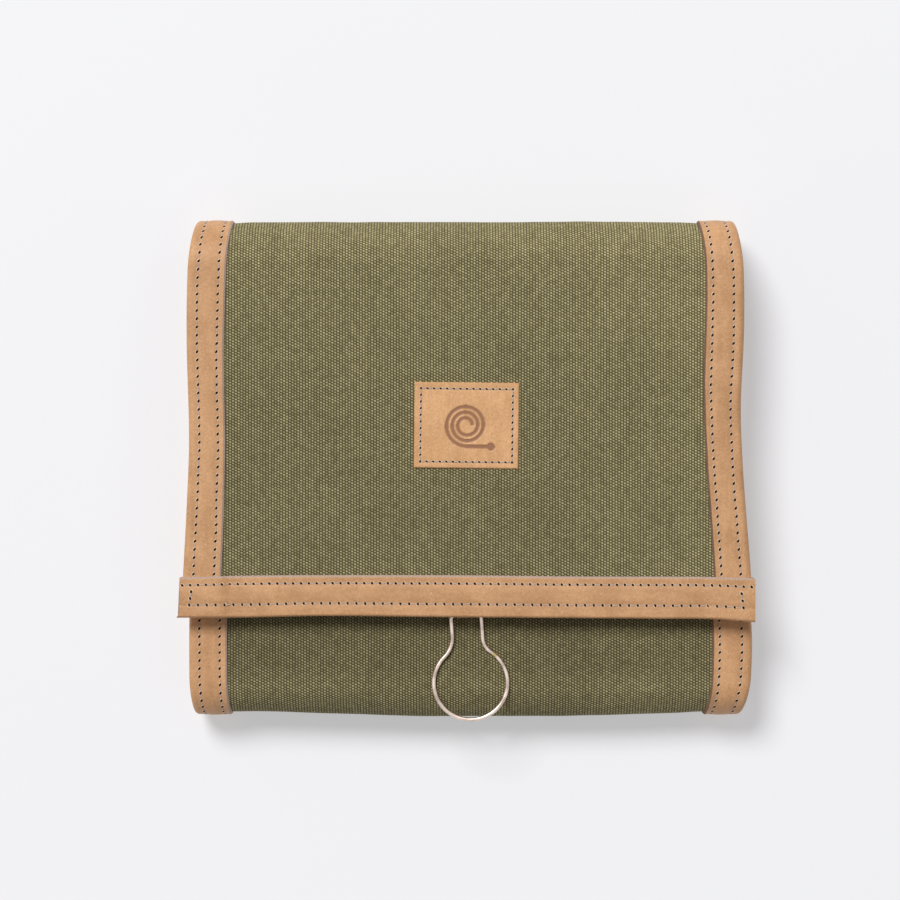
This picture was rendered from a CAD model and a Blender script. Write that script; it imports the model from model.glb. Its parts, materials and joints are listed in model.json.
"""Looks of the folding cable organizer pouch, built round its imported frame.

The cloth and leather follow one route: the outer face of the canvas in the Y-Z plane, from the flap's
free edge over the top fold, along the back, round the bottom fold and up to the front panel's edge.
A place on a soft piece is (x, s, n): across the pouch, along the route, and outward from the canvas.
"""
import bpy
import bmesh
import json
import math
from mathutils import Matrix, Vector, noise


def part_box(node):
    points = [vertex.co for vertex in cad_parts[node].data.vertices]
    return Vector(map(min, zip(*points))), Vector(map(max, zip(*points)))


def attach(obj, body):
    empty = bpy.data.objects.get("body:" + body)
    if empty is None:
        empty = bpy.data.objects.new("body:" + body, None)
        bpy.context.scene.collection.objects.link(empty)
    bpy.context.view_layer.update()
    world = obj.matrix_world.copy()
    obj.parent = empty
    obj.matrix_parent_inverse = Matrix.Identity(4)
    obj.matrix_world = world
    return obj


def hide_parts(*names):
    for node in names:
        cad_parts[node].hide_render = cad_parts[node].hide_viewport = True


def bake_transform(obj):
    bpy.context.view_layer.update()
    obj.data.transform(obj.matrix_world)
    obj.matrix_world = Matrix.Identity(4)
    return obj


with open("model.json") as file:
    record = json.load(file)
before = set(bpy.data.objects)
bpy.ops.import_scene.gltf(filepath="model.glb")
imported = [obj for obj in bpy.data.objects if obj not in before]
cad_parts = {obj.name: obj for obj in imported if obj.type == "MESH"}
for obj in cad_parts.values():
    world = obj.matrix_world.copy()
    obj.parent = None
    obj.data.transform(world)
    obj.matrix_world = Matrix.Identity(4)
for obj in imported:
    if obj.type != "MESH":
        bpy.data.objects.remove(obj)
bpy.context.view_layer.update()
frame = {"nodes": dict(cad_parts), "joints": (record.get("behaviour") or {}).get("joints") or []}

MM = 0.001


# ---------------------------------------------------------------- sizes taken from the frame

def low(node, axis):
    """The lowest value of a CAD node along an axis; high gives the highest."""
    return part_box(node)[0][axis]


def high(node, axis):
    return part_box(node)[1][axis]


FLAP_Z = high("flap_canvas", 2)
FRONT_Z = high("front_canvas", 2)
BACK_Z = low("back_canvas", 2)
LEATHER = low("back_canvas", 2) - low("back_binding_left", 2)
CANVAS = FLAP_Z - high("flap_padding", 2)
LINING = high("back_lining", 2) - low("back_lining", 2)
FLAP_THICK = FLAP_Z - low("flap_lining", 2)
FRONT_THICK = FRONT_Z - low("front_lining", 2)
BACK_THICK = high("back_lining", 2) - BACK_Z
FOLD_THICK = CANVAS + LINING
TOP_R = (FLAP_Z - BACK_Z) / 2
BOTTOM_R = (FRONT_Z - BACK_Z) / 2
TOP_Y = high("top_fold_canvas", 1) - TOP_R
BOTTOM_Y = low("bottom_fold_canvas", 1) + BOTTOM_R
TOP_Z = BACK_Z + TOP_R
BOTTOM_Z = BACK_Z + BOTTOM_R
FLAP_END = low("flap_canvas", 1)
FRONT_END = high("front_canvas", 1)
HALF_W = high("back_binding_right", 0)
BIND_W = HALF_W - low("back_binding_right", 0)
BAND_Y = low("flap_band", 1)
BAND_H = high("flap_band", 1) - BAND_Y
BAND_HALF = high("flap_band", 0)

# Marks along the route, by arc length
S_TOP = TOP_Y - FLAP_END
S_TOP_MID = S_TOP + math.pi * TOP_R / 2
S_BACK = S_TOP + math.pi * TOP_R
S_BACK_MID = S_BACK + (TOP_Y - BOTTOM_Y) / 2
S_BOTTOM = S_BACK + TOP_Y - BOTTOM_Y
S_BOTTOM_MID = S_BOTTOM + math.pi * BOTTOM_R / 2
S_FRONT = S_BOTTOM + math.pi * BOTTOM_R
S_END = S_FRONT + FRONT_END - BOTTOM_Y

# Stitching
PITCH = 3.72 * MM
PATCH_PITCH = 2.9 * MM
ROW_OUT = 4.9 * MM
ROW_IN = 3.3 * MM
THREAD_R = 0.21 * MM
HOLE = (0.92 * MM, 0.54 * MM)       # half length and half width of a needle hole
SLANT_PLAY = 7                      # how many degrees one slanted hole differs from the next
GROOVE = 0.15                       # how deep a row of stitches sinks into the leather, in mm
GROOVE_W = 0.8 * MM
TUCK = 4.5 * MM                     # how far the flap's layers stop short of its end, inside the band
FRONT_OVERHANG = 1.4 * MM           # how far the side bindings run past the front panel's edge

# How far each side's outline stands out from, or is drawn in from, the plain width: (s, offset) in mm
OUTLINE = {
    -1: ((0, 2.6), (25, 1.2), (52, -0.2), (81, -1.2), (126, -0.1), (158, -0.6), (191, -3.3),
         (224, -0.8), (318, -0.3), (410, -0.6), (436, -2.2), (462, -0.5), (500, -0.6), (560, -2.0)),
    1: ((0, 2.4), (25, 0.8), (50, -1.2), (72, -2.7), (96, -3.4), (131, -1.9), (158, -2.2), (191, -4.8),
        (224, -1.0), (318, -0.5), (410, -0.4), (436, -1.6), (462, 2.2), (488, 2.4), (512, -1.2),
        (560, -5.0)),
}

# How much wider each binding is than its plain width: (s, extra) in mm
EXTRA_WIDTH = {
    -1: ((0, 0.6), (30, 0.5), (60, -0.1), (100, -0.4), (146, 0.6), (175, 0.4), (230, 0.0),
         (430, 0.2), (470, 0.5), (560, 0.4)),
    1: ((0, 0.4), (35, -0.2), (90, -0.2), (108, 0.6), (130, 1.0), (150, 0.6), (175, 0.3), (230, 0.0),
        (430, 0.2), (470, 1.3), (500, 1.2), (560, 0.4)),
}


# ---------------------------------------------------------------- small maths

def smooth(t):
    """Eases from 0 to 1 as t goes from 0 to 1."""
    t = min(1.0, max(0.0, t))
    return t * t * (3 - 2 * t)


def mix(a, b, t):
    """The value a part t of the way from a to b."""
    return a + (b - a) * t


def through(knots, t):
    """A smooth curve through a few (place, value) knots."""
    if t <= knots[0][0]:
        return knots[0][1]
    for i in range(len(knots) - 1):
        (t0, v0), (t1, v1) = knots[i], knots[i + 1]
        if t <= t1:
            before = knots[max(0, i - 1)]
            after = knots[min(len(knots) - 1, i + 2)]
            m0 = (v1 - before[1]) / (t1 - before[0])
            m1 = (after[1] - v0) / (after[0] - t0)
            h = t1 - t0
            u = (t - t0) / h
            return ((2 * u**3 - 3 * u**2 + 1) * v0 + (u**3 - 2 * u**2 + u) * h * m0
                    + (-2 * u**3 + 3 * u**2) * v1 + (u**3 - u**2) * h * m1)
    return knots[-1][1]


def evenly(start, stop, count):
    """Values from start to stop in that many equal steps."""
    return [start + (stop - start) * i / count for i in range(count + 1)]


def steps(start, stop, step):
    """Evenly spaced values from start to stop, at most step apart."""
    return evenly(start, stop, max(1, math.ceil(abs(stop - start) / step)))


def wobble(x, y, size, seed=0.0):
    """Smooth random relief, about -1 to 1, with lumps of the given size."""
    return noise.noise(Vector((x / size, y / size, seed)))


# ---------------------------------------------------------------- the route

def on_route(s):
    """The canvas's outer face at s: its (y, z) and the outward normal's (y, z)."""
    if s <= S_TOP:
        return FLAP_END + s, FLAP_Z, 0.0, 1.0
    if s <= S_BACK:
        a = (s - S_TOP) / TOP_R
        ny, nz = math.sin(a), math.cos(a)
        return TOP_Y + TOP_R * ny, TOP_Z + TOP_R * nz, ny, nz
    if s <= S_BOTTOM:
        return TOP_Y - (s - S_BACK), BACK_Z, 0.0, -1.0
    if s <= S_FRONT:
        a = (s - S_BOTTOM) / BOTTOM_R
        ny, nz = -math.sin(a), -math.cos(a)
        return BOTTOM_Y + BOTTOM_R * ny, BOTTOM_Z + BOTTOM_R * nz, ny, nz
    return BOTTOM_Y + (s - S_FRONT), FRONT_Z, 0.0, 1.0


def place(x, s, n):
    """A point at x across, s along the route and n outward from the canvas."""
    y, z, ny, nz = on_route(s)
    return Vector((x, y + n * ny, z + n * nz))


def edge_x(side, s):
    """The outer edge of the binding on one side."""
    return side * (HALF_W + through(OUTLINE[side], s / MM) * MM)


def bind_width(side, s):
    """The width of the binding on one side."""
    return BIND_W + through(EXTRA_WIDTH[side], s / MM) * MM


def thickness(s):
    """Canvas, foam and lining together: the folds hold no foam."""
    ease = 9 * MM
    if s < S_TOP_MID:
        return mix(FLAP_THICK, FOLD_THICK, smooth((s - S_TOP + ease) / ease))
    if s < S_BACK_MID:
        return mix(FOLD_THICK, BACK_THICK, smooth((s - S_BACK) / ease))
    if s < S_BOTTOM_MID:
        return mix(BACK_THICK, FOLD_THICK, smooth((s - S_BOTTOM + ease) / ease))
    return mix(FOLD_THICK, FRONT_THICK, smooth((s - S_FRONT) / ease))


def fold_point(centre_y, centre_z, radius, way, angle):
    """A point on a fold's arc, its angle in degrees from the back; way is its side along Y."""
    a = math.radians(angle)
    return (0, centre_y + way * radius * math.sin(a), centre_z - radius * math.cos(a))


def top_point(angle):
    """A point just inside the top fold's canvas: 0 is at the back, 180 at the flap."""
    return fold_point(TOP_Y, TOP_Z, TOP_R - 2 * MM, 1, angle)


def bottom_point(angle):
    """The same for the bottom fold: 0 is at the back, 180 at the front panel."""
    return fold_point(BOTTOM_Y, BOTTOM_Z, BOTTOM_R - 2 * MM, -1, angle)


# Each soft layer is cut at the middle of both folds and of the back, where its neighbour takes over.
# Each has its start and end along the route, the two bodies it joins, and where its bend starts and ends.
STRETCHES = {
    "flap": (TUCK, S_TOP_MID, "top_fold", "flap", top_point(104), top_point(172)),
    "back_upper": (S_TOP_MID, S_BACK_MID, "back_panel", "top_fold", top_point(8), top_point(76)),
    "back_lower": (S_BACK_MID, S_BOTTOM_MID, "back_panel", "bottom_fold",
                   bottom_point(8), bottom_point(76)),
    "front": (S_BOTTOM_MID, S_END, "bottom_fold", "front_panel", bottom_point(104), bottom_point(172)),
}


def belongs(piece, body, slot, *nodes):
    """Says which body a piece rides on, which slot it takes, and which CAD nodes it stands for."""
    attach(piece, body)
    if nodes:
        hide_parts(*nodes)


def bend_with(piece, stretch):
    """Makes a soft piece bend round the fold that its stretch of the route crosses."""
    _, _, first, second, start, end = STRETCHES[stretch]
    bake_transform(piece)
    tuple(start)
    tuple(end)


# ---------------------------------------------------------------- mesh building

def finish_mesh(name, verts, faces, cloth=None, materials=(), slots=None, pressed=None, crease=38):
    """Makes an object from points and faces, with outward normals, smooth faces and creased edges."""
    mesh = bpy.data.meshes.new(name)
    mesh.from_pydata([tuple(v) for v in verts], [], faces)
    for material in materials:
        mesh.materials.append(material)
    if slots:
        mesh.polygons.foreach_set("material_index", slots)
    if cloth:
        layer = mesh.attributes.new("cloth", "FLOAT_VECTOR", "POINT")
        layer.data.foreach_set("vector", [c for place_on in cloth for c in place_on])
    if pressed:
        layer = mesh.attributes.new("pressed", "FLOAT", "POINT")
        layer.data.foreach_set("value", pressed)
    work = bmesh.new()
    work.from_mesh(mesh)
    bmesh.ops.recalc_face_normals(work, faces=work.faces)
    for face in work.faces:
        face.smooth = True
    for edge in work.edges:
        if len(edge.link_faces) == 2 and edge.calc_face_angle(0) > math.radians(crease):
            edge.smooth = False
    work.to_mesh(mesh)
    work.free()
    piece = bpy.data.objects.new(name, mesh)
    bpy.context.collection.objects.link(piece)
    return piece


def sweep(rings, closed_ends=True):
    """Faces that join rings of points, each ring closed on itself."""
    count = len(rings[0])
    verts = [p for ring in rings for p in ring]
    faces = []
    for r in range(len(rings) - 1):
        for c in range(count):
            d = (c + 1) % count
            faces.append((r * count + c, r * count + d, (r + 1) * count + d, (r + 1) * count + c))
    if closed_ends:
        faces.append(tuple(range(count)))
        faces.append(tuple((len(rings) - 1) * count + c for c in range(count)))
    return verts, faces


def ring_sweep(rings):
    """Faces that join rings of points into a closed loop, each ring closed on itself."""
    verts, faces = sweep(rings, closed_ends=False)
    count = len(rings[0])
    last = (len(rings) - 1) * count
    faces += [(last + c, last + (c + 1) % count, (c + 1) % count, c) for c in range(count)]
    return verts, faces


def shell(outer, inner):
    """Points and faces of a closed sheet between two grids of points."""
    rings = [list(a) + list(reversed(b)) for a, b in zip(outer, inner)]
    verts, faces = sweep(rings, closed_ends=False)
    span = len(rings[0])
    for start in (0, (len(rings) - 1) * span):
        for c in range(span // 2 - 1):
            far = start + span - 1 - c
            faces.append((start + c, start + c + 1, far - 1, far))
    return verts, faces


def merge(parts):
    """Joins several (verts, faces, slot, cloth) parts into one list of each."""
    verts, faces, slots, cloth = [], [], [], []
    for part_verts, part_faces, slot, part_cloth in parts:
        base = len(verts)
        verts += part_verts
        cloth += part_cloth
        faces += [tuple(base + i for i in face) for face in part_faces]
        slots += [slot] * len(part_faces)
    return verts, faces, slots, cloth


# ---------------------------------------------------------------- node wiring

class Wiring:
    """Adds shader nodes to one tree, each call giving the new node's chosen output."""

    def __init__(self, tree):
        self.tree = tree

    def feed(self, socket, value):
        """Gives a socket another node's output, or a plain value of its own."""
        if isinstance(value, bpy.types.NodeSocket):
            self.tree.links.new(value, socket)
        else:
            socket.default_value = value

    def add(self, kind, inputs=(), out=0, **settings):
        made = self.tree.nodes.new(kind)
        for key, value in settings.items():
            setattr(made, key, value)
        pairs = inputs.items() if isinstance(inputs, dict) else enumerate(inputs)
        for key, value in pairs:
            self.feed(made.inputs[key], value)
        return made.outputs[out]

    def math(self, operation, *values):
        return self.add("ShaderNodeMath", values, operation=operation)

    def split(self, vector):
        made = self.add("ShaderNodeSeparateXYZ", [vector]).node
        return made.outputs[0], made.outputs[1], made.outputs[2]

    def combine(self, x, y, z=0.0):
        return self.add("ShaderNodeCombineXYZ", [x, y, z])

    def noise(self, vector, size, detail=3.0, roughness=0.5):
        inputs = {"Vector": vector, "Scale": 1 / size, "Detail": detail, "Roughness": roughness}
        return self.add("ShaderNodeTexNoise", inputs)

    def chance(self, vector):
        """A random value of its own for each whole place."""
        return self.add("ShaderNodeTexWhiteNoise", {"Vector": vector}, noise_dimensions="3D")

    def fade(self, value, start, stop, low_out=0.0, high_out=1.0):
        """Maps a value smoothly from start..stop to low_out..high_out."""
        inputs = [value, start, stop, low_out, high_out]
        return self.add("ShaderNodeMapRange", inputs, interpolation_type="SMOOTHSTEP")

    def blend(self, amount, first, second, mode="MIX"):
        made = self.tree.nodes.new("ShaderNodeMix")
        made.data_type = "RGBA"
        made.blend_type = mode
        for index, value in ((0, amount), (6, first), (7, second)):
            self.feed(made.inputs[index], value)
        return made.outputs[2]

    def tint(self, colour, shade):
        """A colour multiplied by a grey shade."""
        return self.blend(1.0, colour, self.combine(shade, shade, shade), "MULTIPLY")


def new_group(name, inputs, outputs):
    """A shader node group with named sockets: its wiring, its inputs by name, and its output node."""
    tree = bpy.data.node_groups.new(name, "ShaderNodeTree")
    for socket, kind, value in inputs:
        made = tree.interface.new_socket(name=socket, in_out="INPUT", socket_type=kind)
        if value is not None:
            made.default_value = value
    for socket, kind in outputs:
        tree.interface.new_socket(name=socket, in_out="OUTPUT", socket_type=kind)
    source = tree.nodes.new("NodeGroupInput")
    sink = tree.nodes.new("NodeGroupOutput")
    return Wiring(tree), {s.name: s for s in source.outputs}, sink


def close_group(wiring, sink, **values):
    """Wires a group's results to its output sockets."""
    for name, value in values.items():
        wiring.tree.links.new(value, sink.inputs[name.replace("_", " ")])
    return wiring.tree


def weave_group():
    """Coarse plain weave: slanted yarn floats in staggered columns, with weft between and dark gaps."""
    w, given, sink = new_group(
        "Plain weave",
        [("Place", "NodeSocketVector", None), ("Column", "NodeSocketFloat", 1.3 * MM),
         ("Float", "NodeSocketFloat", 1.3 * MM), ("Wander", "NodeSocketFloat", 0.15),
         ("Lean", "NodeSocketFloat", 0.22)],
        [("Height", "NodeSocketFloat"), ("Yarn", "NodeSocketFloat"), ("Fuzz", "NodeSocketFloat")])
    x, y, _ = w.split(given["Place"])
    drift_x = w.math("SUBTRACT", w.noise(given["Place"], 6 * MM, 2.0), 0.5)
    drift_y = w.math("SUBTRACT", w.noise(w.combine(y, x), 5 * MM, 2.0), 0.5)
    across = w.math("MULTIPLY_ADD", drift_x, given["Wander"], w.math("DIVIDE", x, given["Column"]))
    along = w.math("MULTIPLY_ADD", drift_y, given["Wander"], w.math("DIVIDE", y, given["Float"]))
    column = w.math("FLOOR", across)
    stagger = w.math("FRACT", w.math("MULTIPLY", column, 0.5))
    shifted = w.math("ADD", along, stagger)
    fx = w.math("SUBTRACT", w.math("FRACT", across), 0.5)
    fy = w.math("SUBTRACT", w.math("FRACT", shifted), 0.5)
    leaning = w.math("MULTIPLY_ADD", fy, given["Lean"], fx)
    round_x = w.math("MAXIMUM", w.math("COSINE", w.math("MULTIPLY", leaning, math.pi)), 0.0)
    round_y = w.math("MAXIMUM", w.math("COSINE", w.math("MULTIPLY", fy, math.pi * 1.22)), 0.0)
    warp = w.math("POWER", w.math("MULTIPLY", round_x, round_y), 0.8)
    between = w.math("MAXIMUM", w.math("COSINE", w.math("MULTIPLY_ADD", fy, 2 * math.pi, math.pi)), 0.0)
    weft = w.math("MULTIPLY", between, w.math("MULTIPLY_ADD", w.math("ABSOLUTE", fx), -0.3, 0.34))
    height = w.math("MAXIMUM", warp, weft)
    row = w.math("FLOOR", shifted)
    per_float = w.chance(w.combine(column, row))
    per_column = w.chance(w.combine(column, 7.0))
    slub = w.noise(w.combine(w.math("MULTIPLY", x, 1.6), y), 5 * MM, 3.0)
    varied = w.math("MULTIPLY_ADD", per_column, 0.06, w.math("MULTIPLY_ADD", slub, 0.42, 0.13))
    yarn = w.math("MULTIPLY_ADD", per_float, 0.26, varied)
    fuzz = w.noise(given["Place"], 0.25 * MM, 2.0)
    return close_group(w, sink, Height=height, Yarn=yarn, Fuzz=fuzz)


def leather_group():
    """Natural leather: fine grain, pores, soft clouds and faint streaks along the hide."""
    w, given, sink = new_group(
        "Leather grain",
        [("Place", "NodeSocketVector", None)],
        [("Height", "NodeSocketFloat"), ("Cloud", "NodeSocketFloat"), ("Fleck", "NodeSocketFloat")])
    place_in = given["Place"]
    x, y, z = w.split(place_in)
    cells = w.add("ShaderNodeTexVoronoi", {"Vector": place_in, "Scale": 1 / (0.7 * MM)},
                  feature="SMOOTH_F1")
    fine = w.noise(place_in, 1.1 * MM, 4.0, 0.6)
    height = w.math("MULTIPLY_ADD", cells, 0.5, fine)
    cloud = w.noise(place_in, 14 * MM, 4.0, 0.55)
    streak = w.noise(w.combine(w.math("MULTIPLY", x, 3.0), w.math("MULTIPLY", y, 0.5), z), 9 * MM, 3.0)
    cloud_out = w.math("MULTIPLY_ADD", streak, 0.4, w.math("MULTIPLY", cloud, 0.6))
    fleck = w.fade(w.noise(place_in, 1.6 * MM, 3.0, 0.7), 0.56, 0.72)
    return close_group(w, sink, Height=height, Cloud=cloud_out, Fleck=fleck)


def knit_group():
    """Open mesh: holes in staggered rows, 1 where there is yarn."""
    w, given, sink = new_group(
        "Open mesh",
        [("Place", "NodeSocketVector", None), ("Pitch", "NodeSocketFloat", 2.4 * MM)],
        [("Yarn", "NodeSocketFloat"), ("Height", "NodeSocketFloat")])
    x, y, _ = w.split(given["Place"])
    across = w.math("DIVIDE", x, given["Pitch"])
    along = w.math("DIVIDE", y, w.math("MULTIPLY", given["Pitch"], 0.866))
    row = w.math("FLOOR", along)
    shift = w.math("FRACT", w.math("MULTIPLY", row, 0.5))
    fx = w.math("SUBTRACT", w.math("FRACT", w.math("ADD", across, shift)), 0.5)
    fy = w.math("SUBTRACT", w.math("FRACT", along), 0.5)
    reach = w.add("ShaderNodeVectorMath", [w.combine(fx, fy)], out=1, operation="LENGTH")
    return close_group(w, sink, Yarn=w.fade(reach, 0.27, 0.31), Height=w.fade(reach, 0.28, 0.5))


WEAVE = weave_group()
GRAIN = leather_group()
KNIT = knit_group()


def new_material(name):
    """An empty node material with a Principled surface: its wiring and its surface node."""
    material = bpy.data.materials.new(name)
    material.use_nodes = True
    material.node_tree.nodes.clear()
    w = Wiring(material.node_tree)
    surface = material.node_tree.nodes.new("ShaderNodeBsdfPrincipled")
    output = material.node_tree.nodes.new("ShaderNodeOutputMaterial")
    material.node_tree.links.new(surface.outputs[0], output.inputs[0])
    return material, w, surface


def plug(w, surface, **sockets):
    """Sets the surface's sockets, named with _ for each space."""
    for name, value in sockets.items():
        w.feed(surface.inputs[name.replace("_", " ")], value)


def use_group(w, tree, **inputs):
    """Places a group in a material, and gives its outputs by name."""
    made = w.tree.nodes.new("ShaderNodeGroup")
    made.node_tree = tree
    for name, value in inputs.items():
        w.feed(made.inputs[name], value)
    return made.outputs


def cloth_place(w):
    """The place on the cloth or hide that each piece's own layer holds."""
    return w.add("ShaderNodeAttribute", out=1, attribute_name="cloth")


def object_place(w):
    return w.add("ShaderNodeTexCoord", out=3)


def bump(w, height, distance, strength=1.0):
    return w.add("ShaderNodeBump", {"Height": height, "Distance": distance, "Strength": strength})


def wear(w, at):
    """How light the canvas is along the route: paler at both folds and one side, darker in front."""
    x, s, _ = w.split(at)
    paler_fold = w.math("SUBTRACT", w.fade(s, S_TOP - 75 * MM, S_TOP + 5 * MM, 0.0, 0.17),
                        w.fade(s, S_BACK - 20 * MM, S_BACK + 20 * MM, 0.0, 0.17))
    paler_side = w.fade(x, 20 * MM, 105 * MM, 0.0, 0.14)
    darker_front = w.fade(s, S_BACK, S_BOTTOM, 1.0, 0.765)
    worn_fold = w.math("SUBTRACT", w.fade(s, S_BOTTOM, S_BOTTOM + 12 * MM, 1.0, 1.34),
                       w.fade(s, S_FRONT - 8 * MM, S_FRONT + 9 * MM, 0.0, 0.34))
    paler = w.math("MULTIPLY", w.math("ADD", w.math("ADD", paler_fold, paler_side), 1.0), worn_fold)
    return w.math("MULTIPLY", darker_front, paler)


def woven(name, colours, column, float_len, relief, roughness=0.9, wander=0.2, worn=False):
    """A plain-woven cloth between three colours: its gaps, and its darkest and lightest yarns."""
    gap, yarn_dark, yarn_light = colours
    material, w, surface = new_material(name)
    at = cloth_place(w)
    weave = use_group(w, WEAVE, Place=at, Column=column, Float=float_len, Wander=wander)
    yarn = w.blend(w.fade(weave["Yarn"], 0.2, 0.8), yarn_dark, yarn_light)
    open_gap = w.fade(weave["Height"], 0.10, 0.80)
    colour = w.blend(open_gap, gap, yarn)
    tone = w.fade(w.noise(at, 30 * MM, 3.0), 0.3, 0.7, 0.95, 1.05)
    if worn:
        tone = w.math("MULTIPLY", tone, wear(w, at))
    colour = w.tint(colour, tone)
    fuzzy = w.math("MULTIPLY_ADD", weave["Fuzz"], 0.25, weave["Height"])
    rough = w.fade(weave["Height"], 0.2, 0.9, min(1.0, roughness + 0.08), roughness)
    plug(w, surface, Base_Color=colour, Roughness=rough,
         Normal=bump(w, fuzzy, relief), Specular_IOR_Level=0.25)
    return material


def leather(name, base, deep, pale, pressed_colour=None, roughness=0.52):
    """Vegetable-tanned leather that darkens where it is pressed and pales where it is rubbed."""
    material, w, surface = new_material(name)
    at = cloth_place(w)
    grain = use_group(w, GRAIN, Place=at)
    colour = w.blend(w.fade(grain["Cloud"], 0.36, 0.64), deep, base)
    colour = w.blend(w.math("MULTIPLY", grain["Fleck"], 0.45), colour, pale)
    speck = w.fade(grain["Height"], 0.35, 0.95, 0.86, 1.10)
    colour = w.tint(colour, speck)
    if pressed_colour:
        pressed = w.add("ShaderNodeAttribute", out=2, attribute_name="pressed")
        colour = w.blend(pressed, colour, pressed_colour)
    rough = w.fade(grain["Cloud"], 0.3, 0.7, roughness - 0.06, roughness + 0.08)
    plug(w, surface, Base_Color=colour, Roughness=rough,
         Normal=bump(w, grain["Height"], 0.16 * MM, 0.8), Specular_IOR_Level=0.4)
    return material


def raw_edge(name, dark, light):
    """The fibrous cut edge of the leather."""
    material, w, surface = new_material(name)
    at = cloth_place(w)
    fibre = w.noise(at, 0.5 * MM, 4.0, 0.7)
    colour = w.blend(w.fade(fibre, 0.35, 0.65), dark, light)
    plug(w, surface, Base_Color=colour, Roughness=w.fade(fibre, 0.3, 0.7, 0.8, 0.95),
         Normal=bump(w, fibre, 0.2 * MM))
    return material


def thread():
    """Waxed sewing thread, with its twist."""
    material, w, surface = new_material("sewing_thread")
    at = cloth_place(w)
    _, y, z = w.split(at)
    twist = w.math("SINE", w.math("MULTIPLY_ADD", y, 2 * math.pi / (0.7 * MM), z))
    shade = w.fade(twist, -1.0, 1.0)
    colour = w.blend(shade, (0.52, 0.38, 0.31, 1), (0.78, 0.62, 0.54, 1))
    plug(w, surface, Base_Color=colour, Roughness=w.fade(shade, 0.0, 1.0, 0.6, 0.45),
         Normal=bump(w, twist, 0.06 * MM))
    return material


def needle_hole():
    """The dark bottom of a needle hole."""
    material, w, surface = new_material("needle_hole")
    shade = w.fade(w.noise(object_place(w), 1 * MM, 2.0), 0.3, 0.7)
    colour = w.blend(shade, (0.008, 0.005, 0.004, 1), (0.03, 0.017, 0.011, 1))
    plug(w, surface, Base_Color=colour, Roughness=w.fade(shade, 0.0, 1.0, 0.8, 0.95),
         Specular_IOR_Level=0.05)
    return material


def plated_wire():
    """Nickel-plated wire, with drawing marks and one rubbed, brassy spot."""
    material, w, surface = new_material("plated_wire")
    at = cloth_place(w)
    x, y, z = w.split(at)
    drawn = w.noise(w.combine(x, w.math("MULTIPLY", y, 0.04), z), 0.6 * MM, 3.0)
    smudge = w.noise(at, 6 * MM, 3.0)
    colour = w.blend(w.fade(smudge, 0.35, 0.65), (0.56, 0.44, 0.37, 1), (0.80, 0.67, 0.585, 1))
    from_spot = w.math("ABSOLUTE", w.math("SUBTRACT", y, WORN_SPOT))
    spot = w.math("SUBTRACT", 1.0, w.fade(from_spot, 0.6 * MM, 1.7 * MM))
    colour = w.blend(w.math("MULTIPLY", spot, 0.8), colour, (0.52, 0.37, 0.10, 1))
    rough = w.math("MULTIPLY_ADD", drawn, 0.16, w.fade(smudge, 0.3, 0.7, 0.22, 0.32))
    plug(w, surface, Base_Color=colour, Metallic=1.0, Roughness=rough,
         Normal=bump(w, drawn, 0.04 * MM, 0.5))
    return material


def aged_brass():
    """Antique brass of the zips, darker in its hollows."""
    material, w, surface = new_material("aged_brass")
    at = object_place(w)
    stain = w.noise(at, 2 * MM, 4.0, 0.6)
    colour = w.blend(w.fade(stain, 0.35, 0.65), (0.15, 0.10, 0.045, 1), (0.42, 0.30, 0.14, 1))
    plug(w, surface, Base_Color=colour, Metallic=1.0, Roughness=w.fade(stain, 0.3, 0.7, 0.55, 0.38),
         Normal=bump(w, stain, 0.08 * MM))
    return material


def open_mesh():
    """Knitted mesh that shows what is behind it."""
    material, w, surface = new_material("pocket_mesh")
    at = cloth_place(w)
    knit = use_group(w, KNIT, Place=at)
    tone = w.fade(w.noise(at, 4 * MM, 3.0), 0.3, 0.7)
    colour = w.blend(tone, (0.035, 0.031, 0.022, 1), (0.075, 0.068, 0.048, 1))
    plug(w, surface, Base_Color=colour, Alpha=knit["Yarn"], Roughness=w.fade(tone, 0.0, 1.0, 0.7, 0.85),
         Normal=bump(w, knit["Height"], 0.3 * MM))
    return material


def ribbed_elastic():
    """Elastic webbing, ribbed across its width."""
    material, w, surface = new_material("ribbed_elastic")
    at = cloth_place(w)
    x, y, _ = w.split(at)
    rib = w.math("ABSOLUTE", w.math("SINE", w.math("MULTIPLY", y, math.pi / (1.1 * MM))))
    cord = w.math("ABSOLUTE", w.math("SINE", w.math("MULTIPLY", x, math.pi / (0.7 * MM))))
    height = w.math("MULTIPLY_ADD", cord, 0.4, rib)
    colour = w.blend(w.fade(height, 0.2, 1.2), (0.022, 0.019, 0.014, 1), (0.115, 0.102, 0.074, 1))
    plug(w, surface, Base_Color=colour, Roughness=w.fade(height, 0.2, 1.2, 0.92, 0.75),
         Normal=bump(w, height, 0.25 * MM))
    return material


def closure_tape(name, loops):
    """Hook-and-loop tape: a brushed pile of loops, or rows of stiff hooks."""
    material, w, surface = new_material(name)
    at = cloth_place(w)
    if loops:
        pile = w.noise(at, 0.8 * MM, 5.0, 0.75)
    else:
        pile = w.add("ShaderNodeTexVoronoi", {"Vector": at, "Scale": 1 / (1.1 * MM), "Randomness": 0.35})
    colour = w.blend(w.fade(pile, 0.25, 0.7), (0.018, 0.016, 0.012, 1), (0.10, 0.09, 0.062, 1))
    plug(w, surface, Base_Color=colour, Roughness=w.fade(pile, 0.2, 0.8, 0.95, 0.7),
         Normal=bump(w, pile, 0.6 * MM))
    return material


# Where the hook's plating is rubbed through, by length along the wire from the middle of its crossbar
WORN_SPOT = 27.5 * MM

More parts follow.
